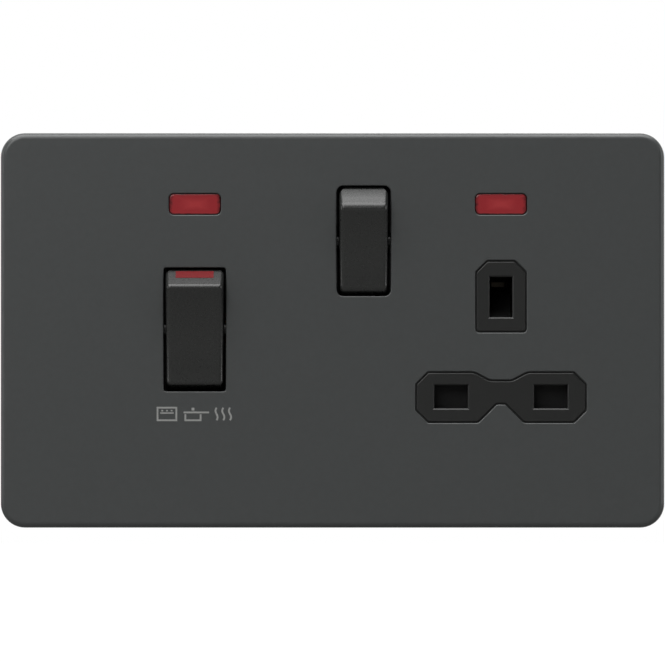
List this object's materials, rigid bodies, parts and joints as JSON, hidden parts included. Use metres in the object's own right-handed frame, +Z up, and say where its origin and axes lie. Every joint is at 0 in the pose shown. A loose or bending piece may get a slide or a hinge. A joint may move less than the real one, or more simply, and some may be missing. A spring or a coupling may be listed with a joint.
{
  "type": "cooker control unit",
  "caption": "Flush wall plate with a double-pole cooker switch, a switched socket outlet for three flat pins and a red neon for each, on a shallow housing for a wall box",
  "frame": {"origin": "midway between the two fixing holes, in the plane of the finished wall", "axes": "+X to the right seen from the room, +Z up, +Y into the wall, so the front faces -Y"},
  "size_m": [0.148, 0.0352, 0.088],
  "materials": {
    "plate": "fine matt powder coat",
    "black_moulding": "fine textured",
    "housing_plastic": "as moulded",
    "rocker_plastic": "satin",
    "red_lens": "clear red",
    "red_flag": "satin",
    "lamp_glass": "clear",
    "resistor_body": "lacquered",
    "copper": "rolled",
    "brass": "machined",
    "steel": "zinc plated",
    "shutter_plastic": "as moulded",
    "plunger_plastic": "as moulded"
  },
  "bodies": {
    "housing": {"front_moulding": "black_moulding", "rear_housing": "housing_plastic", "cooker_lens": "red_lens", "socket_lens": "red_lens", "cooker_neon_lamp": "lamp_glass", "socket_neon_lamp": "lamp_glass", "cooker_neon_resistor": "resistor_body", "socket_neon_resistor": "resistor_body", "bus_bar_line": "copper", "bus_bar_neutral": "copper", "socket_line_contact": "brass", "socket_neutral_contact": "brass", "earth_contact": "brass", "earth_strap": "brass", "earth_terminal_block": "brass", "terminal_screws": "steel", "housing_screws": "steel", "shutter_spring": "steel", "plate_earth_clip": "steel", "cooker_common_strap_line": "copper", "cooker_load_strap_line": "copper", "cooker_supply_terminal_line": "brass", "cooker_load_terminal_line": "brass", "cooker_common_strap_neutral": "copper", "cooker_load_strap_neutral": "copper", "cooker_supply_terminal_neutral": "brass", "cooker_load_terminal_neutral": "brass"},
    "cover": {"front_plate": "plate"},
    "cooker_rocker_body": {"cooker_rocker": "rocker_plastic", "cooker_on_flag": "red_flag", "cooker_spring_line": "steel", "cooker_spring_neutral": "steel"},
    "socket_rocker_body": {"socket_rocker": "rocker_plastic", "socket_spring_line": "steel", "socket_spring_neutral": "steel"},
    "shutter_body": {"shutter": "shutter_plastic"},
    "cooker_line_plunger_body": {"cooker_plunger_line": "plunger_plastic"},
    "cooker_line_arm_body": {"cooker_contact_arm_line": "copper"},
    "cooker_neutral_plunger_body": {"cooker_plunger_neutral": "plunger_plastic"},
    "cooker_neutral_arm_body": {"cooker_contact_arm_neutral": "copper"},
    "socket_line_plunger_body": {"socket_plunger_line": "plunger_plastic"},
    "socket_line_arm_body": {"socket_contact_arm_line": "copper"},
    "socket_neutral_plunger_body": {"socket_plunger_neutral": "plunger_plastic"},
    "socket_neutral_arm_body": {"socket_contact_arm_neutral": "copper"}
  },
  "joints": [
    {"name": "cover_pull", "type": "slide", "parent": "housing", "child": "cover", "axis": [0, -1, 0], "range_m": [0, 0.02]},
    {"name": "cooker_rocker_tilt", "type": "hinge", "parent": "housing", "child": "cooker_rocker_body", "pos_m": [-0.0307, -0.00015, 0.0002], "axis": [1, 0, 0], "range_deg": [-20, 0]},
    {"name": "socket_rocker_tilt", "type": "hinge", "parent": "housing", "child": "socket_rocker_body", "pos_m": [0.00695, 0.00085, 0.01995], "axis": [1, 0, 0], "range_deg": [-24, 0]},
    {"name": "shutter_slide", "type": "slide", "parent": "housing", "child": "shutter_body", "axis": [0, 0, -1], "range_m": [0, 0.0065], "stiffness_N_per_m": 150, "springref_m": -0.006, "deforming": ["shutter_spring"]},
    {"name": "cooker_line_plunger_slide", "type": "slide", "parent": "cooker_rocker_body", "child": "cooker_line_plunger_body", "axis": [0, 0.9848, 0.1736], "range_m": [0, 0.0005], "stiffness_N_per_m": 300, "springref_m": 0.0005},
    {"name": "cooker_line_arm_rock", "type": "hinge", "parent": "housing", "child": "cooker_line_arm_body", "pos_m": [-0.0266, 0.01525, 0.0002], "axis": [1, 0, 0], "range_deg": [0, 18]},
    {"name": "cooker_neutral_plunger_slide", "type": "slide", "parent": "cooker_rocker_body", "child": "cooker_neutral_plunger_body", "axis": [0, 0.9848, 0.1736], "range_m": [0, 0.0005], "stiffness_N_per_m": 300, "springref_m": 0.0005},
    {"name": "cooker_neutral_arm_rock", "type": "hinge", "parent": "housing", "child": "cooker_neutral_arm_body", "pos_m": [-0.0348, 0.01525, 0.0002], "axis": [1, 0, 0], "range_deg": [0, 18]},
    {"name": "socket_line_plunger_slide", "type": "slide", "parent": "socket_rocker_body", "child": "socket_line_plunger_body", "axis": [0, 0.9781, 0.2079], "range_m": [0, 0.0005], "stiffness_N_per_m": 300, "springref_m": 0.0005},
    {"name": "socket_line_arm_rock", "type": "hinge", "parent": "housing", "child": "socket_line_arm_body", "pos_m": [0.00355, 0.01425, 0.01995], "axis": [1, 0, 0], "range_deg": [0, 19]},
    {"name": "socket_neutral_plunger_slide", "type": "slide", "parent": "socket_rocker_body", "child": "socket_neutral_plunger_body", "axis": [0, 0.9781, 0.2079], "range_m": [0, 0.0005], "stiffness_N_per_m": 300, "springref_m": 0.0005},
    {"name": "socket_neutral_arm_rock", "type": "hinge", "parent": "housing", "child": "socket_neutral_arm_body", "pos_m": [0.01035, 0.01425, 0.01995], "axis": [1, 0, 0], "range_deg": [0, 19]}
  ],
  "couplings": [
    {"joint": "cooker_line_arm_rock", "follows": "cooker_rocker_tilt", "ratio": -0.9},
    {"joint": "cooker_neutral_arm_rock", "follows": "cooker_rocker_tilt", "ratio": -0.9},
    {"joint": "socket_line_arm_rock", "follows": "socket_rocker_tilt", "ratio": -0.7916},
    {"joint": "socket_neutral_arm_rock", "follows": "socket_rocker_tilt", "ratio": -0.7916}
  ]
}
